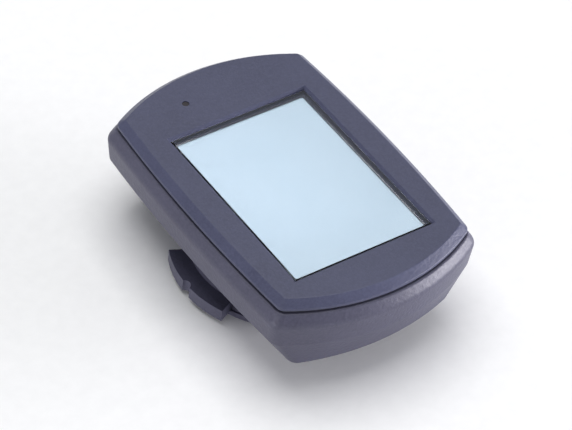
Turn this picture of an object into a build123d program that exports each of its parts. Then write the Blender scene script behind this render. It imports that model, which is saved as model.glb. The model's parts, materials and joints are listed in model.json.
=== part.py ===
from build123d import *
import os
from math import cos, radians, sin, sqrt

# Compact cycling computer head unit with a quarter-turn foot, all sizes in millimetres.
# The origin is the centre of the foot's lower face. +Z is the way the screen faces, +Y points
# away from the rider along the bicycle, and +X is the rider's right.

os.makedirs("parts", exist_ok=True)

# ---------------------------------------------------------------- driving dimensions
# Shell plan at its widest, and the heights of its cross-sections above the foot's face
body_width = 32.6
body_length = 48.0
foot_height = 4.4
waist_z = 9.2
shoulder_z = 12.7
rim_z = 14.1
cover_z = 14.5
face_z = 15.8

# The long sides bow out by this much at mid-length, and both ends have this radius
side_bow = 0.75
end_bow_radius = 29.5
corner_radius = 1.7

# The shell draws in from the shoulder to each of these sections
rim_inset = 0.9
waist_inset = 0.35
sole_width = 25.6
sole_front = 21.8
sole_rear = 21.6
sole_bow_radius = 38.0
wall = 1.9
sole_wall = 0.6
floor_thickness = 1.2
cavity_corner = 1.0
shoulder_round = 1.2
waist_round = 0.7
sole_round = 0.5
rim_round = 0.3

# Front cover, its locating skirt and the seal under its edge
cover_inset = 1.1
cover_corner = 1.3
bevel_width = 1.0
bevel_height = 0.9
bevel_top_round = 0.2
bevel_foot_round = 0.12
skirt_depth = 1.9
skirt_thickness = 0.8
skirt_gap = 0.1
skirt_corner = 0.6
gasket_width = 0.55

# Window and display, both centred ahead of the origin
window_width = 21.0
window_length = 28.8
window_y = 2.0
display_y = 1.4
window_bevel = 0.3
lens_gap = 0.1
lens_flange = 0.75
lens_flange_thickness = 0.6
lens_bevel = 0.12
tape_thickness = 0.15
tape_gap = 0.1
lens_recess = 0.25
glass_width = 22.6
front_glass_length = 31.0
rear_glass_length = 29.0
glass_thickness = 0.55
film_thickness = 0.15
glass_top = 14.05

# Board and display holder
board_z = 9.0
board_thickness = 0.8
board_inset = 2.6
holder_gap = 0.1
holder_wall = 0.9
holder_floor = 1.0
holder_top_gap = 0.15
holder_corner = 1.5
zebra_width = 0.9
zebra_length = 21.0
board_screw_spacing_x = 19.0
board_screw_spacing_y = 18.0
board_screw_radius = 0.6
board_screw_head_radius = 1.1
board_screw_head_height = 0.7
board_screw_depth = 2.2
pillar_radius = 1.3

# Parts on the board
chip_spot = (-2.5, 2.0)
chip_side = 7.0
chip_height = 1.1
lead_pitch = 0.8
lead_length = 1.0
lead_width = 0.35
lead_height = 0.3
leads_per_side = 8
crystal_x = 5.5
crystal_y = -7.0
crystal_radius = 0.9
crystal_length = 6.0
small_part_length = 1.6
small_part_width = 0.8
small_part_height = 0.6
antenna_y = 19.7
core_radius = 0.9
core_length = 13.0
coil_radius = 1.45
coil_length = 8.4

# Quarter-turn foot
foot_radius = 12.7
pilot_height = 0.8
neck_radius = 12.4
lug_radius = 15.0
lug_thickness = 1.8
lug_angle = 50.0
lug_dimple_radius = 0.8

# Coin cell and its well
cell_radius = 10.0
cell_thickness = 3.2
cell_cap_radius = 8.9
cell_cap_height = 0.4
cell_z = 2.4
well_radius = 10.65
well_top = 6.4
ceiling_thickness = 1.0

# Cell door, its seal and its two lugs
door_radius = 11.3
door_gap = 0.1
door_face_z = 0.1
door_flange = 1.2
door_spigot_radius = 10.6
door_cup_radius = 10.1
door_lug_z = 2.3
door_lug_thickness = 0.65
door_lug_angle = 30.0
door_turn = 50.0
coin_slot_length = 15.0
coin_slot_width = 1.9
coin_slot_depth = 1.1
mark_radius = 0.3
mark_depth = 0.2
ring_groove_radius = 11.3
ring_groove_top = 2.05
ring_section_radius = 0.33

# Spring contacts
contact_sheet = 0.25
contact_slot = 0.7
blade_width = 4.0
blade_end_z = 3.3
blade_tab = 1.6
leaf_width = 3.0
leaf_y = -7.8
leaf_tab = 1.5
leaf_bend_y = -5.0
leaf_touch_y = 1.0
leaf_tip_y = 2.4

# Screws that hold the shells together
screw_x = 8.4
screw_front_y = 18.8
screw_rear_y = -18.3
screw_radius = 0.78
screw_head_radius = 1.35
screw_head_height = 0.9
screw_head_z = 4.8
screw_head_round = 0.3
screw_tip_z = 13.4
screw_slot_length = 1.6
screw_slot_width = 0.4
screw_slot_depth = 0.5
cover_post_radius = 1.5
shell_post_radius = 2.0
post_joint_z = 9.6
post_gap = 0.1

# Buttons on the underside: one wide one near the rider, two small ones at the front
button_spot = {"mode": (0, -16.9), "menu": (-3.4, 16.2), "reset": (3.4, 16.2)}
button_radius = {"mode": 2.0, "menu": 1.7, "reset": 1.2}
button_proud = {"mode": 0.8, "menu": 0.5, "reset": -0.3}
mode_length = 10.0
button_round = 0.35
button_gap = 0.1
button_lift = 0.05
flange_rim = 0.5
flange_gap = 0.15
flange_thickness = 0.55
collar_height = 1.6
collar_wall = 0.7
seal_thickness = 0.4
stem_radius = 0.9
stem_gap = 0.06
dome_height = 0.6
dome_radius = 1.9
dome_sheet = 0.12
dome_crown = 0.08
dome_gap = 0.05

# Indicator near the rider's end of the face
indicator_x = 5.0
indicator_y = -17.2
indicator_radius = 0.45
pipe_radius = 0.8
pipe_flange_radius = 1.1
pipe_flange_thickness = 0.6

# ---------------------------------------------------------------- derived dimensions
floor_z = foot_height + floor_thickness
board_top = board_z + board_thickness
ceiling_z = well_top + ceiling_thickness
screw_spots = [(x, y) for x in (-screw_x, screw_x) for y in (screw_rear_y, screw_front_y)]
lens_top = face_z - lens_recess
lens_bottom = cover_z - 0.1
flange_top = lens_bottom + lens_flange_thickness
tape_top = flange_top + tape_thickness
flange_width = window_width + 2 * lens_flange
flange_length = window_length + 2 * lens_flange
rear_glass_z = glass_top - 2 * glass_thickness
reflector_z = rear_glass_z - film_thickness
zebra_offset = (front_glass_length + rear_glass_length) / 4
holder_hollow_z = reflector_z - holder_floor
antenna_z = board_top + coil_radius
dome_tip = board_z - dome_height
seal_z = floor_z + collar_height
button_inner_z = floor_z + button_lift
collar_bore = flange_rim + flange_gap
skirt_inset = wall + skirt_gap
door_flange_z = door_face_z + door_flange
ring_centre_radius = (door_spigot_radius + ring_groove_radius) / 2
ring_centre_z = (door_flange_z + ring_groove_top) / 2 + 0.01
blade_x = cell_radius + 0.2


# ---------------------------------------------------------------- shared shapes
def bowed_plan(width, front, rear, end_radius, corner):
    """Plan whose four sides bow outwards, with end crowns at front and -rear and round corners."""
    half = width / 2
    corner_x = half - side_bow
    end_rise = end_radius - sqrt(end_radius**2 - corner_x**2)
    front_corner = front - end_rise
    rear_corner = end_rise - rear
    middle = (front_corner + rear_corner) / 2
    with BuildSketch(mode=Mode.PRIVATE) as plan:
        with BuildLine():
            ThreePointArc((-corner_x, rear_corner), (-half, middle), (-corner_x, front_corner))
            ThreePointArc((-corner_x, front_corner), (0, front), (corner_x, front_corner))
            ThreePointArc((corner_x, front_corner), (half, middle), (corner_x, rear_corner))
            ThreePointArc((corner_x, rear_corner), (0, -rear), (-corner_x, rear_corner))
        make_face()
        fillet(plan.vertices(), radius=corner)
    return plan.sketch


def inset_plan(inset, corner):
    """Shell plan at the shoulder, drawn in all round by inset."""
    return bowed_plan(
        body_width - 2 * inset,
        body_length / 2 - inset,
        body_length / 2 - inset,
        end_bow_radius - inset,
        corner,
    )


def sole_plan(inset):
    """Shell plan at the underside, drawn in all round by inset."""
    return bowed_plan(
        sole_width - 2 * inset,
        sole_front - inset,
        sole_rear - inset,
        sole_bow_radius - inset,
        corner_radius,
    )


def ring_sector(inner, outer, centre_angle, sweep_angle):
    """Sector of a ring, centred on the given angle about the origin."""
    low = radians(centre_angle - sweep_angle / 2)
    high = radians(centre_angle + sweep_angle / 2)
    middle = radians(centre_angle)
    with BuildSketch(mode=Mode.PRIVATE) as sector:
        with BuildLine():
            ThreePointArc(
                (inner * cos(low), inner * sin(low)),
                (inner * cos(middle), inner * sin(middle)),
                (inner * cos(high), inner * sin(high)),
            )
            Line((inner * cos(high), inner * sin(high)), (outer * cos(high), outer * sin(high)))
            ThreePointArc(
                (outer * cos(high), outer * sin(high)),
                (outer * cos(middle), outer * sin(middle)),
                (outer * cos(low), outer * sin(low)),
            )
            Line((outer * cos(low), outer * sin(low)), (inner * cos(low), inner * sin(low)))
        make_face()
    return sector.sketch


def button_plan(name, grow):
    """Plan of one button, a stadium for the wide one, larger all round by grow."""
    radius = button_radius[name] + grow
    with BuildSketch(mode=Mode.PRIVATE) as plan:
        with Locations(button_spot[name]):
            if name == "mode":
                SlotOverall(mode_length + 2 * grow, 2 * radius)
            else:
                Circle(radius)
    return plan.sketch


def save(shape, name):
    """Label a finished piece and write it as its own node."""
    shape.label = name
    export_step(shape, f"parts/{name}.step")


# ---------------------------------------------------------------- rear housing
with BuildPart() as rear_housing:
    with BuildSketch(Plane.XY.offset(foot_height)):
        add(sole_plan(0))
    with BuildSketch(Plane.XY.offset(waist_z)):
        add(inset_plan(waist_inset, corner_radius))
    with BuildSketch(Plane.XY.offset(shoulder_z)):
        add(inset_plan(0, corner_radius))
    with BuildSketch(Plane.XY.offset(rim_z)):
        add(inset_plan(rim_inset, corner_radius))
    loft(ruled=True)
    for edge_z, edge_round in (
        (shoulder_z, shoulder_round),
        (waist_z, waist_round),
        (rim_z, rim_round),
        (foot_height, sole_round),
    ):
        section_edges = rear_housing.edges().filter_by_position(Axis.Z, edge_z - 0.01, edge_z + 0.01)
        fillet(section_edges, radius=edge_round)
    # Cavity: it follows the undercut sides below the waist and is straight above
    with BuildSketch(Plane.XY.offset(floor_z)):
        add(sole_plan(sole_wall))
    with BuildSketch(Plane.XY.offset(waist_z + 0.2)):
        add(inset_plan(wall, cavity_corner))
    with BuildSketch(Plane.XY.offset(rim_z)):
        add(inset_plan(wall, cavity_corner))
    loft(ruled=True, mode=Mode.SUBTRACT)
    # Round foot with its two lugs, and the closed well for the cell
    with BuildSketch():
        Circle(foot_radius)
    extrude(amount=pilot_height)
    with BuildSketch(Plane.XY.offset(pilot_height)):
        Circle(neck_radius)
    extrude(amount=ceiling_z - pilot_height)
    with BuildSketch(Plane.XY.offset(pilot_height)):
        for lug_centre in (0, 180):
            add(ring_sector(neck_radius - 0.2, lug_radius, lug_centre, lug_angle))
        with PolarLocations(lug_radius + 0.2, 2):
            Circle(lug_dimple_radius, mode=Mode.SUBTRACT)
    extrude(amount=lug_thickness)
    # Posts for the shell screws, on the floor, with a counterbore for each head
    with BuildSketch(Plane.XY.offset(floor_z - 0.5)):
        with Locations(*screw_spots):
            Circle(shell_post_radius)
    extrude(amount=post_joint_z - post_gap - floor_z + 0.5)
    with BuildSketch(Plane.XY.offset(foot_height)):
        with Locations(*screw_spots):
            Circle(screw_head_radius + 0.15)
    extrude(amount=screw_head_z + screw_head_height - foot_height, mode=Mode.SUBTRACT)
    with BuildSketch(Plane.XY.offset(foot_height)):
        with Locations(*screw_spots):
            Circle(screw_radius + 0.12)
    extrude(amount=post_joint_z - foot_height, mode=Mode.SUBTRACT)
    # Collars that guide the buttons, with a bore for each flange and a hole for each cap
    with BuildSketch(Plane.XY.offset(foot_height)):
        for button_name in button_spot:
            add(button_plan(button_name, collar_bore + collar_wall))
    extrude(amount=seal_z - foot_height)
    with BuildSketch(Plane.XY.offset(floor_z)):
        for button_name in button_spot:
            add(button_plan(button_name, collar_bore))
    extrude(amount=collar_height, mode=Mode.SUBTRACT)
    with BuildSketch(Plane.XY.offset(foot_height)):
        for button_name in button_spot:
            add(button_plan(button_name, button_gap))
    extrude(amount=floor_thickness, mode=Mode.SUBTRACT)
    # Well: recess for the door's flange, groove for its ring, bore for the cell
    with BuildSketch():
        Circle(door_radius + door_gap)
    extrude(amount=door_flange_z + 0.05, mode=Mode.SUBTRACT)
    with BuildSketch():
        Circle(ring_groove_radius)
    extrude(amount=ring_groove_top, mode=Mode.SUBTRACT)
    with BuildSketch():
        Circle(well_radius)
    extrude(amount=well_top, mode=Mode.SUBTRACT)
    # Groove that the door's lugs turn in, with its two entry notches
    with BuildSketch(Plane.XY.offset(door_lug_z)):
        Circle(door_radius + door_gap)
    extrude(amount=door_lug_thickness + 0.15, mode=Mode.SUBTRACT)
    with BuildSketch(Plane.XY.offset(door_flange_z)):
        for notch_centre in (90 - door_turn, 270 - door_turn):
            add(ring_sector(well_radius - 0.5, door_radius + 0.07, notch_centre, door_lug_angle + 3))
    extrude(amount=door_lug_z + 0.2 - door_flange_z, mode=Mode.SUBTRACT)
    # Dots beside the door that mark its closed and open positions
    with BuildSketch():
        for mark_angle in (-90, -90 - door_turn):
            with PolarLocations((door_radius + door_gap + foot_radius) / 2, 1, start_angle=mark_angle):
                Circle(mark_radius)
    extrude(amount=mark_depth, mode=Mode.SUBTRACT)
    # Ceiling slots for the two contacts
    with BuildSketch(Plane.XY.offset(well_top)):
        with Locations((blade_x, 0)):
            Rectangle(contact_slot, blade_width + 0.4)
        with Locations((0, leaf_y)):
            Rectangle(leaf_width + 0.4, contact_slot)
    extrude(amount=ceiling_thickness, mode=Mode.SUBTRACT)
save(rear_housing.part, "rear_housing")

# ---------------------------------------------------------------- front cover
with BuildPart() as front_cover:
    with BuildSketch(Plane.XY.offset(cover_z)):
        add(inset_plan(cover_inset, cover_corner))
    extrude(amount=face_z - cover_z)
    chamfer(
        front_cover.faces().sort_by(Axis.Z)[-1].edges(),
        length=bevel_width,
        length2=bevel_height,
        reference=front_cover.faces().sort_by(Axis.Z)[-1],
    )
    fillet(front_cover.faces().sort_by(Axis.Z)[-1].edges(), radius=bevel_top_round)
    bevel_foot = front_cover.edges().filter_by_position(
        Axis.Z, face_z - bevel_height - 0.01, face_z - bevel_height + 0.01
    )
    fillet(bevel_foot, radius=bevel_foot_round)
    # Locating skirt and the posts that take the screws
    with BuildSketch(Plane.XY.offset(cover_z - skirt_depth)):
        add(inset_plan(skirt_inset, cavity_corner))
        add(inset_plan(skirt_inset + skirt_thickness, skirt_corner), mode=Mode.SUBTRACT)
    extrude(amount=skirt_depth)
    with BuildSketch(Plane.XY.offset(post_joint_z)):
        with Locations(*screw_spots):
            Circle(cover_post_radius)
    extrude(amount=cover_z - post_joint_z)
    with BuildSketch(Plane.XY.offset(post_joint_z)):
        with Locations(*screw_spots):
            Circle(screw_radius + 0.02)
    extrude(amount=screw_tip_z + 0.3 - post_joint_z, mode=Mode.SUBTRACT)
    # Window, with the rebate for the lens flange below it
    with BuildSketch(Plane.XY.offset(cover_z)):
        with Locations((0, window_y)):
            Rectangle(window_width, window_length)
    extrude(amount=face_z - cover_z, mode=Mode.SUBTRACT)
    with BuildSketch(Plane.XY.offset(cover_z)):
        with Locations((0, window_y)):
            Rectangle(flange_width + 2 * lens_gap, flange_length + 2 * lens_gap)
    extrude(amount=tape_top - cover_z, mode=Mode.SUBTRACT)
    window_edges = (
        front_cover.edges()
        .filter_by_position(Axis.Z, face_z - 0.01, face_z + 0.01)
        .filter_by_position(Axis.X, -window_width / 2 - 0.01, window_width / 2 + 0.01)
        .filter_by(GeomType.LINE)
    )
    chamfer(window_edges, length=window_bevel)
    # Hole for the indicator's light pipe
    with BuildSketch(Plane.XY.offset(cover_z)):
        with Locations((indicator_x, indicator_y)):
            Circle(indicator_radius + 0.05)
    extrude(amount=face_z - cover_z, mode=Mode.SUBTRACT)
save(front_cover.part, "front_cover")

# ---------------------------------------------------------------- shell seal and screws
with BuildPart() as housing_gasket:
    with BuildSketch(Plane.XY.offset(rim_z)):
        add(inset_plan(skirt_inset - gasket_width - 0.05, 1.2))
        add(inset_plan(skirt_inset - 0.05, 0.8), mode=Mode.SUBTRACT)
    extrude(amount=cover_z - rim_z)
save(housing_gasket.part, "housing_gasket")

with BuildPart() as housing_screws:
    with BuildSketch(Plane.XY.offset(screw_head_z)):
        with Locations(*screw_spots):
            Circle(screw_head_radius)
    extrude(amount=screw_head_height)
    head_edges = housing_screws.edges().filter_by_position(
        Axis.Z, screw_head_z - 0.01, screw_head_z + 0.01
    )
    fillet(head_edges, radius=screw_head_round)
    with BuildSketch(Plane.XY.offset(screw_head_z + screw_head_height)):
        with Locations(*screw_spots):
            Circle(screw_radius)
    extrude(amount=screw_tip_z - screw_head_z - screw_head_height)
    # Cross recess in each head
    with BuildSketch(Plane.XY.offset(screw_head_z)):
        with Locations(*screw_spots):
            Rectangle(screw_slot_length, screw_slot_width)
            Rectangle(screw_slot_width, screw_slot_length)
    extrude(amount=screw_slot_depth, mode=Mode.SUBTRACT)
save(housing_screws.part, "housing_screws")

# ---------------------------------------------------------------- lens and display
with BuildPart() as display_lens:
    with BuildSketch(Plane.XY.offset(lens_bottom)):
        with Locations((0, window_y)):
            Rectangle(flange_width, flange_length)
    extrude(amount=lens_flange_thickness)
    with BuildSketch(Plane.XY.offset(flange_top)):
        with Locations((0, window_y)):
            Rectangle(window_width - 2 * lens_gap, window_length - 2 * lens_gap)
    extrude(amount=lens_top - flange_top)
    chamfer(display_lens.faces().sort_by(Axis.Z)[-1].edges(), length=lens_bevel)
save(display_lens.part, "display_lens")

with BuildPart() as lens_adhesive:
    with BuildSketch(Plane.XY.offset(flange_top)):
        with Locations((0, window_y)):
            Rectangle(flange_width, flange_length)
            Rectangle(window_width + 2 * tape_gap, window_length + 2 * tape_gap, mode=Mode.SUBTRACT)
    extrude(amount=tape_thickness)
save(lens_adhesive.part, "lens_adhesive")


def display_layer(name, bottom, thickness, length):
    """One flat layer of the display."""
    with BuildPart() as layer:
        with BuildSketch(Plane.XY.offset(bottom)):
            with Locations((0, display_y)):
                Rectangle(glass_width, length)
        extrude(amount=thickness)
    save(layer.part, name)


display_layer("lcd_polarizer", glass_top, film_thickness, rear_glass_length)
display_layer("lcd_front_glass", glass_top - glass_thickness, glass_thickness, front_glass_length)
display_layer("lcd_rear_glass", rear_glass_z, glass_thickness, rear_glass_length)
display_layer("lcd_reflector", reflector_z, film_thickness, rear_glass_length)

for zebra_name, zebra_side in (("zebra_strip_front", 1), ("zebra_strip_rear", -1)):
    with BuildPart() as zebra_strip:
        with BuildSketch(Plane.XY.offset(board_top)):
            with Locations((0, display_y + zebra_side * zebra_offset)):
                Rectangle(zebra_length, zebra_width)
        extrude(amount=glass_top - glass_thickness - board_top)
    save(zebra_strip.part, zebra_name)

with BuildPart() as lcd_holder:
    with BuildSketch(Plane.XY.offset(board_top)):
        with Locations((0, display_y)):
            Rectangle(
                glass_width + 2 * (holder_gap + holder_wall),
                front_glass_length + 2 * (holder_gap + holder_wall),
            )
    extrude(amount=glass_top - holder_top_gap - board_top)
    fillet(lcd_holder.edges().filter_by(Axis.Z), radius=holder_corner)
    # Bed for the glass above the floor
    with BuildSketch(Plane.XY.offset(reflector_z)):
        with Locations((0, display_y)):
            Rectangle(glass_width + 2 * holder_gap, front_glass_length + 2 * holder_gap)
    extrude(amount=glass_top - reflector_z, mode=Mode.SUBTRACT)
    # Hollow for the parts on the board, with slots for the connector strips
    with BuildSketch(Plane.XY.offset(board_top)):
        with Locations((0, display_y)):
            Rectangle(glass_width - 0.4, rear_glass_length - 0.8)
    extrude(amount=holder_hollow_z - board_top, mode=Mode.SUBTRACT)
    with BuildSketch(Plane.XY.offset(board_top)):
        for zebra_side in (1, -1):
            with Locations((0, display_y + zebra_side * zebra_offset)):
                Rectangle(zebra_length + 0.3, zebra_width + 0.1)
    extrude(amount=glass_top - board_top, mode=Mode.SUBTRACT)
    # Pillars for the board screws, and room for the shell posts
    with BuildSketch(Plane.XY.offset(board_top)):
        with Locations((0, display_y)):
            with GridLocations(board_screw_spacing_x, board_screw_spacing_y, 2, 2):
                Circle(pillar_radius)
    extrude(amount=holder_hollow_z - board_top)
    with BuildSketch(Plane.XY.offset(board_top)):
        with Locations((0, display_y)):
            with GridLocations(board_screw_spacing_x, board_screw_spacing_y, 2, 2):
                Circle(board_screw_radius + 0.02)
    extrude(amount=board_screw_depth + 0.2, mode=Mode.SUBTRACT)
    with BuildSketch(Plane.XY.offset(board_top)):
        with Locations(*screw_spots):
            Circle(cover_post_radius + 0.15)
    extrude(amount=glass_top - board_top, mode=Mode.SUBTRACT)
save(lcd_holder.part, "lcd_holder")

# ---------------------------------------------------------------- board and its parts
with BuildPart() as main_board:
    with BuildSketch(Plane.XY.offset(board_z)):
        add(inset_plan(board_inset, cavity_corner))
        with Locations(*screw_spots):
            Circle(shell_post_radius + 0.3, mode=Mode.SUBTRACT)
        with Locations((0, display_y)):
            with GridLocations(board_screw_spacing_x, board_screw_spacing_y, 2, 2):
                Circle(board_screw_radius + 0.1, mode=Mode.SUBTRACT)
    extrude(amount=board_thickness)
save(main_board.part, "main_board")

with BuildPart() as board_screws:
    with BuildSketch(Plane.XY.offset(board_z - board_screw_head_height)):
        with Locations((0, display_y)):
            with GridLocations(board_screw_spacing_x, board_screw_spacing_y, 2, 2):
                Circle(board_screw_head_radius)
    extrude(amount=board_screw_head_height)
    with BuildSketch(Plane.XY.offset(board_z)):
        with Locations((0, display_y)):
            with GridLocations(board_screw_spacing_x, board_screw_spacing_y, 2, 2):
                Circle(board_screw_radius)
    extrude(amount=board_thickness + board_screw_depth)
save(board_screws.part, "board_screws")

with BuildPart() as microcontroller:
    with BuildSketch(Plane.XY.offset(board_top + 0.1)):
        with Locations(chip_spot):
            Rectangle(chip_side, chip_side)
    extrude(amount=chip_height)
    chamfer(microcontroller.faces().sort_by(Axis.Z)[-1].edges(), length=0.15)
    # Leads on all four sides, down to the board
    with BuildSketch(Plane.XY.offset(board_top)):
        with Locations(chip_spot):
            with GridLocations(lead_pitch, chip_side + 0.6, leads_per_side, 2):
                Rectangle(lead_width, lead_length)
            with GridLocations(chip_side + 0.6, lead_pitch, 2, leads_per_side):
                Rectangle(lead_length, lead_width)
    extrude(amount=lead_height)
save(microcontroller.part, "microcontroller")

with BuildPart() as quartz_crystal:
    with BuildSketch(Plane.XZ.offset(-crystal_y - crystal_length / 2)):
        with Locations((crystal_x, board_top + crystal_radius)):
            Circle(crystal_radius)
    extrude(amount=crystal_length)
    fillet(quartz_crystal.edges().filter_by(GeomType.CIRCLE), radius=0.2)
save(quartz_crystal.part, "quartz_crystal")

with BuildPart() as chip_parts:
    with BuildSketch(Plane.XY.offset(board_top)):
        with Locations((4.5, 3.0)):
            with GridLocations(2.2, 1.8, 2, 4):
                Rectangle(small_part_length, small_part_width)
        with Locations((-4.0, -8.0)):
            with GridLocations(2.4, 2.2, 3, 2):
                Rectangle(small_part_length, small_part_width)
    extrude(amount=small_part_height)
save(chip_parts.part, "chip_parts")

with BuildPart() as antenna_core:
    with BuildSketch(Plane.YZ.offset(-core_length / 2)):
        with Locations((antenna_y, antenna_z)):
            Circle(core_radius)
    extrude(amount=core_length)
save(antenna_core.part, "antenna_core")

with BuildPart() as antenna_coil:
    with BuildSketch(Plane.YZ.offset(-coil_length / 2)):
        with Locations((antenna_y, antenna_z)):
            Circle(coil_radius)
            Circle(core_radius + 0.02, mode=Mode.SUBTRACT)
    extrude(amount=coil_length)
save(antenna_coil.part, "antenna_coil")

with BuildPart() as indicator_led:
    with BuildSketch(Plane.XY.offset(board_top)):
        with Locations((indicator_x, indicator_y)):
            Rectangle(small_part_length, small_part_width)
    extrude(amount=small_part_height)
save(indicator_led.part, "indicator_led")

with BuildPart() as indicator_window:
    pipe_z = board_top + small_part_height + 0.2
    with BuildSketch(Plane.XY.offset(pipe_z)):
        with Locations((indicator_x, indicator_y)):
            Circle(pipe_radius)
    extrude(amount=cover_z - pipe_flange_thickness - pipe_z)
    with BuildSketch(Plane.XY.offset(cover_z - pipe_flange_thickness)):
        with Locations((indicator_x, indicator_y)):
            Circle(pipe_flange_radius)
    extrude(amount=pipe_flange_thickness)
    with BuildSketch(Plane.XY.offset(cover_z)):
        with Locations((indicator_x, indicator_y)):
            Circle(indicator_radius)
    extrude(amount=face_z - 0.1 - cover_z)
save(indicator_window.part, "indicator_window")


# ---------------------------------------------------------------- buttons, seals and domes
def button_set(name):
    """Button with flange and stem, the silicone seal above it and its snap dome."""
    with BuildPart() as button:
        outer_z = foot_height - button_proud[name]
        with BuildSketch(Plane.XY.offset(outer_z)):
            add(button_plan(name, 0))
        extrude(amount=button_inner_z - outer_z)
        fillet(button.faces().sort_by(Axis.Z)[0].edges(), radius=button_round)
        with BuildSketch(Plane.XY.offset(button_inner_z)):
            add(button_plan(name, flange_rim))
        extrude(amount=flange_thickness)
        with BuildSketch(Plane.XY.offset(button_inner_z)):
            with Locations(button_spot[name]):
                Circle(stem_radius)
        extrude(amount=dome_tip - dome_gap - button_inner_z)
    save(button.part, f"{name}_button")

    with BuildPart() as seal:
        with BuildSketch(Plane.XY.offset(seal_z)):
            add(button_plan(name, collar_bore + collar_wall))
            with Locations(button_spot[name]):
                Circle(stem_radius + stem_gap, mode=Mode.SUBTRACT)
        extrude(amount=seal_thickness)
    save(seal.part, f"{name}_seal")

    with BuildPart() as dome:
        shoulder_radius = dome_radius * 0.45
        dome_top = dome_tip + dome_sheet
        with BuildSketch(Plane.XZ):
            with BuildLine():
                Polyline(
                    (0, dome_tip),
                    (0, dome_top),
                    (shoulder_radius, dome_top + dome_crown),
                    (dome_radius - dome_sheet, board_z),
                    (dome_radius, board_z),
                    (shoulder_radius + dome_sheet, dome_tip + dome_crown),
                    close=True,
                )
            make_face()
        revolve(axis=Axis.Z)
    dome_x, dome_y = button_spot[name]
    save(dome.part.moved(Location((dome_x, dome_y, 0))), f"{name}_dome")


for button_name in button_spot:
    button_set(button_name)

# ---------------------------------------------------------------- cell, contacts and door
with BuildPart() as coin_cell:
    with BuildSketch(Plane.XY.offset(cell_z)):
        Circle(cell_radius)
    extrude(amount=cell_thickness - cell_cap_height)
    fillet(coin_cell.faces().sort_by(Axis.Z)[0].edges(), radius=0.4)
    # Smaller negative cap, which faces the contact in the ceiling
    with BuildSketch(Plane.XY.offset(cell_z + cell_thickness - cell_cap_height)):
        Circle(cell_cap_radius)
    extrude(amount=cell_cap_height)
save(coin_cell.part, "coin_cell")

with BuildPart() as positive_contact:
    tab_z = board_z - contact_sheet / 2
    with BuildSketch(Plane.XZ.offset(-blade_width / 2)):
        with BuildLine():
            blade = Polyline((blade_x, blade_end_z), (blade_x, tab_z), (blade_x + blade_tab, tab_z))
        trace(blade, contact_sheet)
    extrude(amount=blade_width)
save(positive_contact.part, "positive_contact")

with BuildPart() as negative_contact:
    arm_z = well_top - contact_sheet
    with BuildSketch(Plane.YZ.offset(-leaf_width / 2)):
        with BuildLine():
            leaf = Polyline(
                (leaf_y - leaf_tab, tab_z),
                (leaf_y, tab_z),
                (leaf_y, arm_z),
                (leaf_bend_y, arm_z),
                (leaf_touch_y, cell_z + cell_thickness + 0.2),
                (leaf_tip_y, arm_z),
            )
        trace(leaf, contact_sheet)
    extrude(amount=leaf_width)
save(negative_contact.part, "negative_contact")

with BuildPart() as battery_door:
    with BuildSketch(Plane.XY.offset(door_face_z)):
        Circle(door_radius)
    extrude(amount=door_flange)
    fillet(battery_door.faces().sort_by(Axis.Z)[0].edges(), radius=0.3)
    with BuildSketch(Plane.XY.offset(door_flange_z)):
        Circle(door_spigot_radius)
    extrude(amount=door_lug_z + door_lug_thickness - door_flange_z)
    with BuildSketch(Plane.XY.offset(door_lug_z)):
        for lug_centre in (90, 270):
            add(ring_sector(door_cup_radius + 0.2, door_radius, lug_centre, door_lug_angle))
    extrude(amount=door_lug_thickness)
    # Cup that the cell sits in
    with BuildSketch(Plane.XY.offset(cell_z - 0.1)):
        Circle(door_cup_radius)
    extrude(amount=door_lug_z + door_lug_thickness - cell_z + 0.1, mode=Mode.SUBTRACT)
    # Coin slot across the outer face, and the dot that points at the marks on the foot
    with BuildSketch(Plane.XY.offset(door_face_z)):
        SlotOverall(coin_slot_length, coin_slot_width)
    extrude(amount=coin_slot_depth, mode=Mode.SUBTRACT)
    with BuildSketch(Plane.XY.offset(door_face_z)):
        with Locations((0, -door_radius + 1.2)):
            Circle(mark_radius)
    extrude(amount=mark_depth, mode=Mode.SUBTRACT)
save(battery_door.part, "battery_door")

with BuildPart() as door_o_ring:
    with BuildSketch(Plane.XZ):
        with Locations((ring_centre_radius, ring_centre_z)):
            Circle(ring_section_radius)
    revolve(axis=Axis.Z)
save(door_o_ring.part, "door_o_ring")
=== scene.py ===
import json
from math import cos, pi, radians, sin

import bmesh
import bpy
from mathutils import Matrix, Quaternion, Vector


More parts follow.
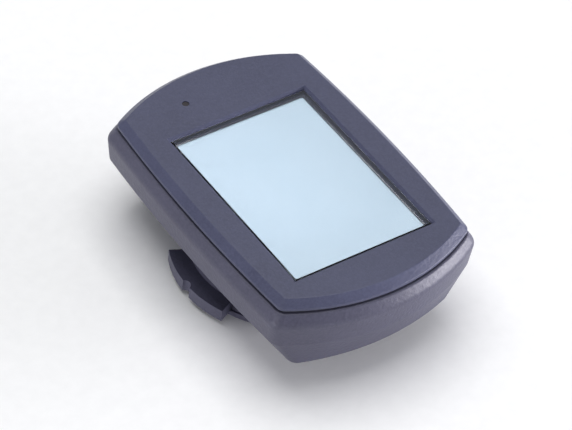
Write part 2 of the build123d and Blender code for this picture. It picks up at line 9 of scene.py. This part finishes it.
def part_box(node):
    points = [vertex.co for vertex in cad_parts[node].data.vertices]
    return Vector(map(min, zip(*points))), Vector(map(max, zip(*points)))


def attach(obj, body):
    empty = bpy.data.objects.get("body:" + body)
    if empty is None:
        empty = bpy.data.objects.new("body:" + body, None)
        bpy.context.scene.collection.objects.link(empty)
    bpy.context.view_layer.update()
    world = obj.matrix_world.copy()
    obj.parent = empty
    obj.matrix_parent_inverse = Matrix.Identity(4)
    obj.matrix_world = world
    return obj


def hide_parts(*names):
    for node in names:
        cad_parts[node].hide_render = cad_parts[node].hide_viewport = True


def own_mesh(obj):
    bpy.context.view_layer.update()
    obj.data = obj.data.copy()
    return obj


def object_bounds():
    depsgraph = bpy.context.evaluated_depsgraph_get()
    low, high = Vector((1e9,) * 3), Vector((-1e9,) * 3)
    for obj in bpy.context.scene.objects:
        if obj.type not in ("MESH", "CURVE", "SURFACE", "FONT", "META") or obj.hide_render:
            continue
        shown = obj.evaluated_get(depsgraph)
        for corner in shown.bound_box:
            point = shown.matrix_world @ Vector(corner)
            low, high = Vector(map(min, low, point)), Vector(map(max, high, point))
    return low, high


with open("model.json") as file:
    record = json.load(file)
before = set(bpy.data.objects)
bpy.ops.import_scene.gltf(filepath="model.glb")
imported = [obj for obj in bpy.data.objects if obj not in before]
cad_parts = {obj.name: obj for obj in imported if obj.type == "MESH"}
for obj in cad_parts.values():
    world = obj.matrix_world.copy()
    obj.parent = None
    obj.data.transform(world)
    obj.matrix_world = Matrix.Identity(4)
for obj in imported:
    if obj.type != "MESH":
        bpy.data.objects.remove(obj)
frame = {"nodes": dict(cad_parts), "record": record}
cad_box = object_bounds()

MM = 0.001

# ---------------------------------------------------------------- camera and light
# The view: where the camera stands, in degrees, how far away, and how wide the picture is there
AZIMUTH, ELEVATION, ROLL = 141.0, 44.0, 7.0
DISTANCE = 0.4
VIEW_WIDTH = 0.074


def direction(azimuth, elevation):
    """Unit vector from the object towards a viewer. Azimuth 0 is the -Y side and 90 the +X side."""
    a, e = radians(azimuth), radians(elevation)
    return Vector((sin(a) * cos(e), -cos(a) * cos(e), sin(e)))


def make_camera():
    """The camera, a little turned about its own axis, aimed at the middle of the object."""
    data = bpy.data.cameras.new("camera")
    camera = bpy.data.objects.new("camera", data)
    bpy.context.scene.collection.objects.link(camera)
    back = direction(AZIMUTH, ELEVATION)
    middle = (cad_box[0] + cad_box[1]) / 2
    camera.location = middle + back * DISTANCE
    camera.rotation_mode = "QUATERNION"
    turn = Quaternion((0, 0, 1), radians(ROLL))
    camera.rotation_quaternion = (-back).to_track_quat("-Z", "Y") @ turn
    data.lens = data.sensor_width * DISTANCE / VIEW_WIDTH
    data.clip_start = DISTANCE / 20
    data.clip_end = DISTANCE * 10
    bpy.context.scene.camera = camera


def softbox(name, azimuth, elevation, distance, width, height, power, colour=(1, 1, 1)):
    """A rectangular area light that faces the object."""
    data = bpy.data.lights.new(name, "AREA")
    data.shape = "RECTANGLE"
    data.size, data.size_y = width, height
    data.energy = power
    data.color = colour
    light = bpy.data.objects.new(name, data)
    bpy.context.scene.collection.objects.link(light)
    back = direction(azimuth, elevation)
    light.location = back * distance
    light.rotation_mode = "QUATERNION"
    light.rotation_quaternion = (-back).to_track_quat("-Z", "Y")
    light.visible_camera = False


SKY_COLOUR = (0.93, 0.96, 1.0, 1)
SKY_STRENGTH = 0.3


def make_world():
    """Even, dim, slightly cool surroundings."""
    world = bpy.data.worlds.new("studio")
    world.use_nodes = True
    sky = world.node_tree.nodes["Background"]
    sky.inputs["Color"].default_value = SKY_COLOUR
    sky.inputs["Strength"].default_value = SKY_STRENGTH
    bpy.context.scene.world = world
    bpy.context.scene.view_settings.view_transform = "Standard"


make_camera()
make_world()
# Name, azimuth, elevation, distance, width, height, power in watts, and colour if it isn't white
softbox("rear_light", 322, 44, 0.5, 0.36, 0.3, 0.12)
softbox("top_light", 0, 80, 0.55, 0.5, 0.5, 2.45)
softbox("front_right_light", 236, 5, 0.42, 0.26, 0.1, 3.1, (0.96, 0.94, 1.0))
softbox("left_fill", 100, 6, 0.6, 0.36, 0.11, 1.5, (0.98, 0.96, 1.0))


# ---------------------------------------------------------------- materials
class Shader:
    """One material's node tree, with short ways to add nodes. Lengths are in metres."""

    def __init__(self, name):
        self.material = bpy.data.materials.new(name)
        self.material.use_nodes = True
        self.tree = self.material.node_tree
        self.tree.nodes.clear()
        self.place = self.add("TexCoord").outputs["Object"]

    def add(self, kind, settings=None, inputs=None):
        """A node of this kind, whose inputs are values or other nodes' outputs."""
        made = self.tree.nodes.new("ShaderNode" + kind)
        for key, value in (settings or {}).items():
            setattr(made, key, value)
        for key, value in (inputs or {}).items():
            if isinstance(value, bpy.types.NodeSocket):
                self.tree.links.new(value, made.inputs[key])
            else:
                made.inputs[key].default_value = value
        return made

    def noise(self, size, detail=3.0, roughness=0.5, stretch=(1, 1, 1)):
        """Noise from 0 to 1 whose patches are about size across, stretched along the axes."""
        inputs = {"Vector": self.place, "Scale": tuple(1 / s for s in stretch)}
        place = self.add("Mapping", inputs=inputs).outputs[0]
        inputs = {"Vector": place, "Scale": 1 / size, "Detail": detail, "Roughness": roughness}
        return self.add("TexNoise", inputs=inputs).outputs["Fac"]

    def cells(self, size):
        """Distance to the nearest of random points that are about size apart."""
        inputs = {"Vector": self.place, "Scale": 1 / size}
        return self.add("TexVoronoi", {"feature": "F1"}, inputs).outputs["Distance"]

    def bands(self, period, axis="X", distortion=0.0):
        """Waves from 0 to 1 along an axis, one every period."""
        settings = {"wave_type": "BANDS", "bands_direction": axis, "wave_profile": "SIN"}
        # A wave node makes one wave in pi / 10 units at a scale of 1
        inputs = {"Vector": self.place, "Scale": pi / 10 / period, "Distortion": distortion}
        return self.add("TexWave", settings, inputs).outputs["Fac"]

    def remap(self, value, low, high, to_low=0.0, to_high=1.0):
        """The value moved from one range to another, and kept inside it."""
        inputs = {0: value, 1: low, 2: high, 3: to_low, 4: to_high}
        return self.add("MapRange", inputs=inputs).outputs[0]

    def math(self, operation, first, second=0.0):
        """One sum on two numbers."""
        return self.add("Math", {"operation": operation}, {0: first, 1: second}).outputs[0]

    def mix(self, factor, first, second):
        """A colour between two others."""
        inputs = {0: factor, 6: first, 7: second}
        return self.add("Mix", {"data_type": "RGBA"}, inputs).outputs[2]

    def edges(self, radius):
        """1 along sharp edges, falling to 0 on open faces."""
        rounded = self.add("Bevel", {"samples": 4}, {"Radius": radius}).outputs["Normal"]
        plain = self.add("NewGeometry").outputs["Normal"]
        dot = self.add("VectorMath", {"operation": "DOT_PRODUCT"}, {0: rounded, 1: plain})
        return self.remap(dot.outputs["Value"], 0.99, 0.86)

    def bump(self, height, depth):
        """A normal for relief that is depth from its lowest to its highest point."""
        inputs = {"Strength": 1.0, "Distance": depth, "Height": height}
        return self.add("Bump", inputs=inputs).outputs["Normal"]

    def finish(self, **sockets):
        """Ends the tree in a Principled shader. Underscores in names stand for spaces."""
        inputs = {name.replace("_", " "): value for name, value in sockets.items()}
        shader = self.add("BsdfPrincipled", inputs=inputs).outputs[0]
        self.add("OutputMaterial", inputs={"Surface": shader})
        return self.material


def shade(colour, factor):
    """The colour made lighter or darker, with full alpha."""
    return tuple(c * factor for c in colour[:3]) + (1.0,)


# Moulded plastic: the size of its clouds, and how far in and how patchily its edges are painted
# lighter as a highlight
CLOUD_SIZE = 9 * MM
HIGHLIGHT_REACH = 0.18 * MM
HIGHLIGHT_PATCH = 1.4 * MM


def moulded_plastic(name, colour, roughness, grain, depth, edge_highlight):
    """Moulded plastic: spark-eroded grain, faint clouding, and edges painted a little lighter and
    glossier as a highlight.
    """
    s = Shader(name)
    clouds = s.noise(CLOUD_SIZE, 5.0, 0.6)
    pebbles = s.noise(grain, 3.0, 0.65)
    specks = s.cells(grain * 1.7)
    base = s.mix(s.remap(clouds, 0.3, 0.7), shade(colour, 0.88), shade(colour, 1.06))
    base = s.mix(s.remap(pebbles, 0.4, 0.7, 0.0, 0.6), base, shade(colour, 1.32))
    patchy = s.remap(s.noise(HIGHLIGHT_PATCH), 0.4, 0.7, 0.2, 1.0)
    # Painted highlight: the edge mask lightens the colour along edges, and also lowers their
    # roughness
    highlit_edges = s.math("MULTIPLY", s.edges(HIGHLIGHT_REACH), patchy)
    base = s.mix(s.math("MULTIPLY", highlit_edges, edge_highlight), base, shade(colour, 2.1))
    relief = s.math("ADD", pebbles, s.math("MULTIPLY", specks, 0.4))
    rough = s.remap(pebbles, 0.3, 0.7, roughness - 0.05, roughness + 0.05)
    rough = s.math("SUBTRACT", rough, s.math("MULTIPLY", highlit_edges, 0.12))
    return s.finish(
        Base_Color=base,
        Roughness=rough,
        Specular_IOR_Level=0.32,
        Normal=s.bump(relief, depth),
    )


def silicone(name, colour):
    """Soft dark rubber with a dusty bloom."""
    s = Shader(name)
    bloom = s.noise(0.8 * MM, 4.0, 0.6)
    pores = s.noise(0.07 * MM, 2.0)
    base = s.mix(s.remap(bloom, 0.4, 0.8), shade(colour, 1.0), shade(colour, 1.8))
    return s.finish(
        Base_Color=base,
        Roughness=s.remap(bloom, 0.3, 0.7, 0.62, 0.8),
        Sheen_Weight=0.15,
        Normal=s.bump(pores, 0.006 * MM),
    )


def metal(name, colour, roughness, stretch, scratch_depth):
    """Metal with fine lines along the direction it was worked in, and a few dull patches."""
    s = Shader(name)
    lines = s.noise(0.08 * MM, 3.0, 0.6, stretch)
    patches = s.noise(1.5 * MM, 4.0, 0.6)
    base = s.mix(s.remap(lines, 0.3, 0.7), shade(colour, 0.85), shade(colour, 1.1))
    base = s.mix(s.remap(patches, 0.55, 0.8, 0.0, 0.35), base, shade(colour, 0.6))
    dull = s.remap(patches, 0.3, 0.8, 0.0, 0.15)
    rough = s.math("ADD", dull, s.remap(lines, 0.3, 0.7, 0.0, 0.1))
    return s.finish(
        Base_Color=base,
        Metallic=1.0,
        Roughness=s.math("ADD", rough, roughness),
        Normal=s.bump(lines, scratch_depth),
    )


def clear_window(name, colour, ior, roughness):
    """Clear plastic or glass that also lets the lamps' light through to what is behind it."""
    s = Shader(name)
    smears = s.noise(6 * MM, 5.0, 0.6)
    shader = s.add(
        "BsdfPrincipled",
        inputs={
            "Base Color": colour + (1.0,),
            "Roughness": s.remap(smears, 0.45, 0.75, roughness, roughness + 0.05),
            "IOR": ior,
            "Transmission Weight": 1.0,
        },
    )
    open_way = s.add("BsdfTransparent", inputs={"Color": colour + (1.0,)})
    shadow = s.add("LightPath").outputs["Is Shadow Ray"]
    inputs = {0: shadow, 1: shader.outputs[0], 2: open_way.outputs[0]}
    both = s.add("MixShader", inputs=inputs)
    s.add("OutputMaterial", inputs={"Surface": both.outputs[0]})
    return s.material


FILM_PALE = (0.345, 0.445, 0.53, 1.0)
FILM_COOL = (0.38, 0.48, 0.565, 1.0)
FILM_GRID = (0.24, 0.31, 0.385, 1.0)
FILM_GLINT = (0.45, 0.56, 0.64, 1.0)


def display_film(name):
    """The blank display: a pale reflector under a polariser, with a faint cell grid and cloud."""
    s = Shader(name)
    clouds = s.noise(14 * MM, 3.0, 0.5)
    grain = s.noise(0.09 * MM, 2.0)
    rows = s.math("MULTIPLY", s.bands(0.42 * MM, "X"), s.bands(0.42 * MM, "Y"))
    base = s.mix(s.remap(clouds, 0.3, 0.7), FILM_PALE, FILM_COOL)
    base = s.mix(s.remap(rows, 0.0, 1.0, 0.06, 0.0), base, FILM_GRID)
    base = s.mix(s.remap(grain, 0.4, 0.8, 0.0, 0.1), base, FILM_GLINT)
    return s.finish(
        Base_Color=base,
        Roughness=s.remap(grain, 0.3, 0.7, 0.42, 0.55),
        Normal=s.bump(grain, 0.001 * MM),
    )


BOARD_GREEN = (0.008, 0.07, 0.03, 1.0)
TRACK_GREEN = (0.02, 0.16, 0.06, 1.0)
ISLAND_GREEN = (0.015, 0.13, 0.05, 1.0)
GILT_PAD = (0.75, 0.62, 0.35, 1.0)


def circuit_board(name):
    """Green solder mask with tracks under it and gilt pads."""
    s = Shader(name)
    tracks = s.math("MAXIMUM", s.bands(0.9 * MM, "X", 2.0), s.bands(1.1 * MM, "Y", 3.0))
    islands = s.noise(3 * MM, 2.0)
    pads = s.remap(s.cells(1.6 * MM), 0.16, 0.12)
    base = s.mix(s.remap(tracks, 0.8, 0.85), BOARD_GREEN, TRACK_GREEN)
    base = s.mix(s.remap(islands, 0.55, 0.6), base, ISLAND_GREEN)
    base = s.mix(pads, base, GILT_PAD)
    relief = s.math("ADD", s.remap(tracks, 0.78, 0.88), pads)
    return s.finish(
        Base_Color=base,
        Metallic=pads,
        Roughness=s.remap(pads, 0.0, 1.0, 0.28, 0.35),
        Normal=s.bump(relief, 0.02 * MM),
    )


ENAMEL_THICK = (0.3, 0.09, 0.03, 1.0)
ENAMEL_THIN = (0.62, 0.2, 0.07, 1.0)


def wound_wire(name):
    """Copper wire under amber enamel that is thinner in places."""
    s = Shader(name)
    enamel = s.noise(0.35 * MM, 3.0, 0.6)
    drawn = s.noise(0.04 * MM, 2.0, 0.5, (1, 6, 6))
    base = s.mix(s.remap(enamel, 0.3, 0.7), ENAMEL_THICK, ENAMEL_THIN)
    return s.finish(
        Base_Color=base,
        Metallic=0.8,
        Roughness=s.remap(enamel, 0.3, 0.7, 0.4, 0.25),
        Coat_Weight=0.6,
        Normal=s.bump(drawn, 0.003 * MM),
    )


CONDUCTING = (0.02, 0.02, 0.02, 1.0)
INSULATING = (0.3, 0.3, 0.32, 1.0)


def striped_connector(name):
    """Elastomer in thin layers, by turns conducting black and insulating grey."""
    s = Shader(name)
    layers = s.bands(0.18 * MM, "X")
    base = s.mix(s.remap(layers, 0.45, 0.55), CONDUCTING, INSULATING)
    return s.finish(Base_Color=base, Roughness=0.6, Normal=s.bump(layers, 0.01 * MM))


TINNING = (0.7, 0.7, 0.7, 1.0)


def ceramic(name, colour, tinned):
    """Fired ceramic, with patches of tinning on it if it is tinned."""
    s = Shader(name)
    grain = s.noise(0.12 * MM, 3.0)
    base = s.mix(s.remap(grain, 0.3, 0.7), shade(colour, 0.85), shade(colour, 1.1))
    metallic = 0.0
    if tinned:
        metallic = s.remap(s.noise(0.9 * MM, 1.0), 0.5, 0.54)
        base = s.mix(metallic, base, TINNING)
    return s.finish(
        Base_Color=base,
        Metallic=metallic,
        Roughness=s.remap(grain, 0.3, 0.7, 0.35, 0.55),
        Normal=s.bump(grain, 0.01 * MM),
    )


SHELL_GREY = (0.069, 0.068, 0.103)
COVER_GREY = (0.061, 0.065, 0.112)
DOOR_GREY = shade(SHELL_GREY, 0.8)
BUTTON_BLACK = (0.035, 0.035, 0.038)
HOLDER_WHITE = (0.72, 0.72, 0.7)
CHIP_BLACK = (0.022, 0.022, 0.024)
TAPE_BLACK = (0.012, 0.016, 0.034)
PIPE_BLACK = (0.03, 0.026, 0.03)
SEAL_BLACK = (0.012, 0.012, 0.013)
LENS_CLEAR = (0.985, 0.99, 0.995)
GLASS_CLEAR = (0.95, 0.97, 0.965)
FOIL_SILVER = (0.85, 0.86, 0.87)
CAN_NICKEL = (0.68, 0.68, 0.67)
CERAMIC_TAN = (0.45, 0.33, 0.2)
FERRITE_BLACK = (0.05, 0.047, 0.045)
SCREW_STEEL = (0.5, 0.49, 0.48)
DOME_STEEL = (0.7, 0.69, 0.67)
CELL_STEEL = (0.66, 0.66, 0.64)
CONTACT_GOLD = (0.72, 0.63, 0.42)

# The record's slots and their materials. A plastic has its roughness, the size of its grain, the
# depth of its relief and the painted highlight on its edges. A metal has its roughness, the stretch
# of its lines along each axis and their depth. A clear part has its index of refraction and
# roughness.
looks = {
    "shell": moulded_plastic("shell_plastic", SHELL_GREY, 0.42, 0.36 * MM, 0.05 * MM, 0.4),
    "cover": moulded_plastic("cover_plastic", COVER_GREY, 0.38, 0.32 * MM, 0.04 * MM, 0.35),
    "door": moulded_plastic("door_plastic", DOOR_GREY, 0.5, 0.36 * MM, 0.05 * MM, 0.5),
    "button": moulded_plastic("button_plastic", BUTTON_BLACK, 0.6, 0.2 * MM, 0.02 * MM, 0.3),
    "holder": moulded_plastic("holder_plastic", HOLDER_WHITE, 0.5, 0.3 * MM, 0.01 * MM, 0.1),
    "chip": moulded_plastic("chip_plastic", CHIP_BLACK, 0.5, 0.08 * MM, 0.008 * MM, 0.2),
    "tape": moulded_plastic("tape_film", TAPE_BLACK, 0.5, 0.4 * MM, 0.01 * MM, 0.1),
    "light_pipe": moulded_plastic("pipe_plastic", PIPE_BLACK, 0.2, 0.3 * MM, 0.003 * MM, 0.2),
    "seal": silicone("seal_silicone", SEAL_BLACK),
    "lens": clear_window("lens_acrylic", LENS_CLEAR, 1.49, 0.02),
    "display_glass": clear_window("display_glass", GLASS_CLEAR, 1.51, 0.01),
    "screen": display_film("display_film"),
    "reflector": metal("reflector_film", FOIL_SILVER, 0.25, (1, 8, 1), 0.002 * MM),
    "zebra": striped_connector("connector_elastomer"),
    "board": circuit_board("board_laminate"),
    "can": metal("crystal_can", CAN_NICKEL, 0.2, (1, 12, 1), 0.003 * MM),
    "ceramic": ceramic("chip_ceramic", CERAMIC_TAN, tinned=True),
    "ferrite": ceramic("core_ferrite", FERRITE_BLACK, tinned=False),
    "winding": wound_wire("coil_wire"),
    "fastener": metal("screw_steel", SCREW_STEEL, 0.28, (1, 1, 6), 0.006 * MM),
    "dome": metal("dome_steel", DOME_STEEL, 0.22, (5, 1, 1), 0.004 * MM),
    "cell": metal("cell_steel", CELL_STEEL, 0.3, (10, 1, 1), 0.004 * MM),
    "contact": metal("contact_plate", CONTACT_GOLD, 0.25, (1, 10, 1), 0.004 * MM),
}


# ---------------------------------------------------------------- CAD nodes and their finish
def dress(name, material):
    """Gives a CAD node its material in every slot."""
    node = frame["nodes"][name]
    if not node.material_slots:
        node.data.materials.append(None)
    for slot in node.material_slots:
        slot.material = material


slot_of = {part["node"]: part["material_slot"] for part in frame["record"]["subparts"]}
for node_name in frame["nodes"]:
    dress(node_name, looks[slot_of[node_name]])


# ---------------------------------------------------------------- pieces that only Blender makes
# The bars on the wide button: their size and spacing, and how far they stand out of its face
RIB_COUNT = 5
RIB_SPACING = 1.1 * MM
RIB_LENGTH = 2.0 * MM
RIB_RADIUS = 0.2 * MM
RIB_HEIGHT = 0.14 * MM
RIB_SIDES = 14
RIB_END_ANGLES = (-75, -50, -25, 0)

# The snap domes: their sheet, how finely they are drawn, how full their curve is, the angle at
# which the crown is closed, and the dimple in it
DOME_SHEET = 0.09 * MM
DOME_RINGS = 9
DOME_SIDES = 36
DOME_FULLNESS = 0.8
DOME_CROWN = 0.49 * pi
DIMPLE_DEPTH = 0.05 * MM
DIMPLE_REACH = 0.2

# The coil's wire, its pitch as a multiple of the wire's radius, and how finely a turn is drawn
WIRE_RADIUS = 0.12 * MM
WIRE_PITCH = 2.1
STEPS_PER_TURN = 14

# The dark sheet under the lens that paints the shade the window's edges cast on the display: its
# thickness, how far it comes in from the edge of the lens, its margin there, its gaps to the lens
# and to the display, and the radii of its corners
SHADE_SHEET_THICKNESS = 0.08 * MM
SHADE_SHEET_REACH = 1.4 * MM
SHADE_SHEET_MARGIN = 0.1 * MM
SHADE_SHEET_LENS_GAP = 0.02 * MM
SHADE_SHEET_FILM_GAP = 0.04 * MM
SHADE_SHEET_INNER_CORNER = 0.35 * MM
SHADE_SHEET_OUTER_CORNER = 0.5 * MM


def add_piece(name, data, slot, body="housing"):
    """An object of the model's own that rides on a body and is finished like the record's slot."""
    data.materials.append(looks[slot])
    piece = bpy.data.objects.new(name, data)
    bpy.context.scene.collection.objects.link(piece)
    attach(piece, body)
    return piece


def add_mesh(name, shape, slot, body="housing"):
    """A piece made from a bmesh, which is freed."""
    bmesh.ops.recalc_face_normals(shape, faces=shape.faces)
    mesh = bpy.data.meshes.new(name)
    shape.to_mesh(mesh)
    shape.free()
    return add_piece(name, mesh, slot, body)


def bridge(shape, loops, closed=True):
    """Joins rings of the same number of points into faces, the last to the first if closed."""
    rings = [[shape.verts.new(point) for point in loop] for loop in loops]
    nexts = rings[1:] + rings[:1] if closed else rings[1:]
    for ring, other in zip(rings, nexts):
        for i, vert in enumerate(ring):
            j = (i + 1) % len(ring)
            shape.faces.new((vert, ring[j], other[j], other[i]))
    return rings


def capped(loops):
    """A smooth shape through rings of points, with a flat face on its first and last ring."""
    shape = bmesh.new()
    rings = bridge(shape, loops, closed=False)
    shape.faces.new(rings[0])
    shape.faces.new(rings[-1])
    for face in shape.faces:
        face.smooth = True
    return shape


def turns(steps):
    """Angles evenly round a full turn."""
    return [2 * pi * step / steps for step in range(steps)]


def make_button_ribs():
    """Raised bars across the wide button's outer face, for a gloved thumb."""
    low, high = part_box("mode_button")
    middle = (low + high) / 2
    straight = RIB_LENGTH / 2 - RIB_RADIUS
    end_angles = [radians(angle) for angle in RIB_END_ANGLES]
    profile = [(RIB_RADIUS * sin(a) - straight, RIB_RADIUS * cos(a)) for a in end_angles]
    profile += [(-along, radius) for along, radius in reversed(profile)]
    z = low.z + RIB_RADIUS - RIB_HEIGHT
    for number in range(RIB_COUNT):
        x = middle.x + RIB_SPACING * (number - (RIB_COUNT - 1) / 2)
        loops = [
            [(x + radius * cos(t), middle.y + along, z + radius * sin(t)) for t in turns(RIB_SIDES)]
            for along, radius in profile
        ]
        add_mesh(f"mode_button_rib_{number + 1}", capped(loops), "button", "mode_key")


def dome_rings(middle, foot, radius, height):
    """One face of a snap dome, as rings from its foot to its crown. The crown points down."""
    rings = []
    for ring in range(DOME_RINGS + 1):
        rise = DOME_CROWN * ring / DOME_RINGS
        across = radius * cos(rise) ** DOME_FULLNESS
        dimple = DIMPLE_DEPTH / (1 + (across / (DIMPLE_REACH * radius)) ** 4)
        z = foot - height * sin(rise) + dimple
        rings.append(
            [(middle.x + across * cos(t), middle.y + across * sin(t), z) for t in turns(DOME_SIDES)]
        )
    return rings


def make_snap_dome(button):
    """A sprung steel dome under one button, in place of the CAD node's dome."""
    low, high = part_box(f"{button}_dome")
    middle = (low + high) / 2
    radius, height = (high.x - low.x) / 2, high.z - low.z
    outside = dome_rings(middle, high.z, radius, height)
    inside = dome_rings(middle, high.z, radius - DOME_SHEET, height - DOME_SHEET)
    dome = add_mesh(f"{button}_snap_dome", capped(inside[::-1] + outside), "dome")
    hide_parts(f"{button}_dome")
    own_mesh(dome)


def make_coil_winding():
    """The receiver's coil: one wire wound out and back along the core, in two layers."""
    low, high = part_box("antenna_coil")
    middle = (low + high) / 2
    outer_layer = (high.z - low.z) / 2 - WIRE_RADIUS
    inner_layer = outer_layer - WIRE_PITCH * WIRE_RADIUS
    start, span = low.x + WIRE_RADIUS, high.x - low.x - 2 * WIRE_RADIUS
    steps = int(span / (WIRE_PITCH * WIRE_RADIUS)) * STEPS_PER_TURN
    points = []
    for radius in (inner_layer, outer_layer):
        for step in range(steps + 1):
            share = step / steps
            along = share if radius == inner_layer else 1 - share
            angle = 2 * pi * step / STEPS_PER_TURN
            y = middle.y + radius * cos(angle)
            z = middle.z + radius * sin(angle)
            points.append((start + span * along, y, z, 1.0))
    curve = bpy.data.curves.new("coil_winding", "CURVE")
    curve.dimensions = "3D"
    curve.bevel_depth = WIRE_RADIUS
    curve.bevel_resolution = 1
    spline = curve.splines.new("POLY")
    spline.points.add(len(points) - 1)
    for point, place in zip(spline.points, points):
        point.co = place
    winding = add_piece("coil_winding", curve, "winding")
    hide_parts("antenna_coil")


def rounded_loop(half_x, half_y, corner, middle, height, steps=8):
    """Points round a rectangle with round corners, anticlockwise from its +X side."""
    points = []
    for quarter, (side_x, side_y) in enumerate(((1, 1), (-1, 1), (-1, -1), (1, -1))):
        for step in range(steps + 1):
            angle = pi / 2 * (quarter + step / steps)
            x = middle.x + side_x * (half_x - corner) + corner * cos(angle)
            y = middle.y + side_y * (half_y - corner) + corner * sin(angle)
            points.append((x, y, height))
    return points


def make_display_shade_sheet():
    """A dark border under the lens, round the live part of the display: painted shade standing in
    for the shadow the window's edges cast on the display.
    """
    lens_low, lens_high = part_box("display_lens")
    film_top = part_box("lcd_polarizer")[1].z
    middle = (lens_low + lens_high) / 2
    top = lens_low.z - SHADE_SHEET_LENS_GAP
    bottom = max(film_top + SHADE_SHEET_FILM_GAP, top - SHADE_SHEET_THICKNESS)
    half = (lens_high - lens_low) / 2
    inner = (half.x - SHADE_SHEET_REACH, half.y - SHADE_SHEET_REACH, SHADE_SHEET_INNER_CORNER)
    outer = (half.x - SHADE_SHEET_MARGIN, half.y - SHADE_SHEET_MARGIN, SHADE_SHEET_OUTER_CORNER)
    shape = bmesh.new()
    bridge(
        shape,
        [
            rounded_loop(*inner, middle, bottom),
            rounded_loop(*outer, middle, bottom),
            rounded_loop(*outer, middle, top),
            rounded_loop(*inner, middle, top),
        ],
    )
    # Painted shade: this dark sheet stands in for the shadow of the window's edges on the display
    add_mesh("display_shade_sheet", shape, "tape")


make_button_ribs()
for button_name in ("mode", "menu", "reset"):
    make_snap_dome(button_name)
make_coil_winding()
make_display_shade_sheet()


# ---------------------------------------------------------------- floor
FLOOR_REACH = 1.5
FLOOR_GREY = (0.88, 0.88, 0.88, 1.0)
FLOOR_PALE = (0.91, 0.91, 0.91, 1.0)


def make_floor():
    """A plain pale floor under the object."""
    s = Shader("floor_paper")
    fibres = s.noise(2 * MM, 4.0, 0.6)
    base = s.mix(s.remap(fibres, 0.3, 0.7), FLOOR_GREY, FLOOR_PALE)
    paper = s.finish(Base_Color=base, Roughness=0.9)
    mesh = bpy.data.meshes.new("floor")
    reach = FLOOR_REACH
    corners = [(-reach, -reach, 0), (reach, -reach, 0), (reach, reach, 0), (-reach, reach, 0)]
    mesh.from_pydata(corners, [], [(0, 1, 2, 3)])
    mesh.materials.append(paper)
    floor = bpy.data.objects.new("floor", mesh)
    bpy.context.scene.collection.objects.link(floor)


make_floor()
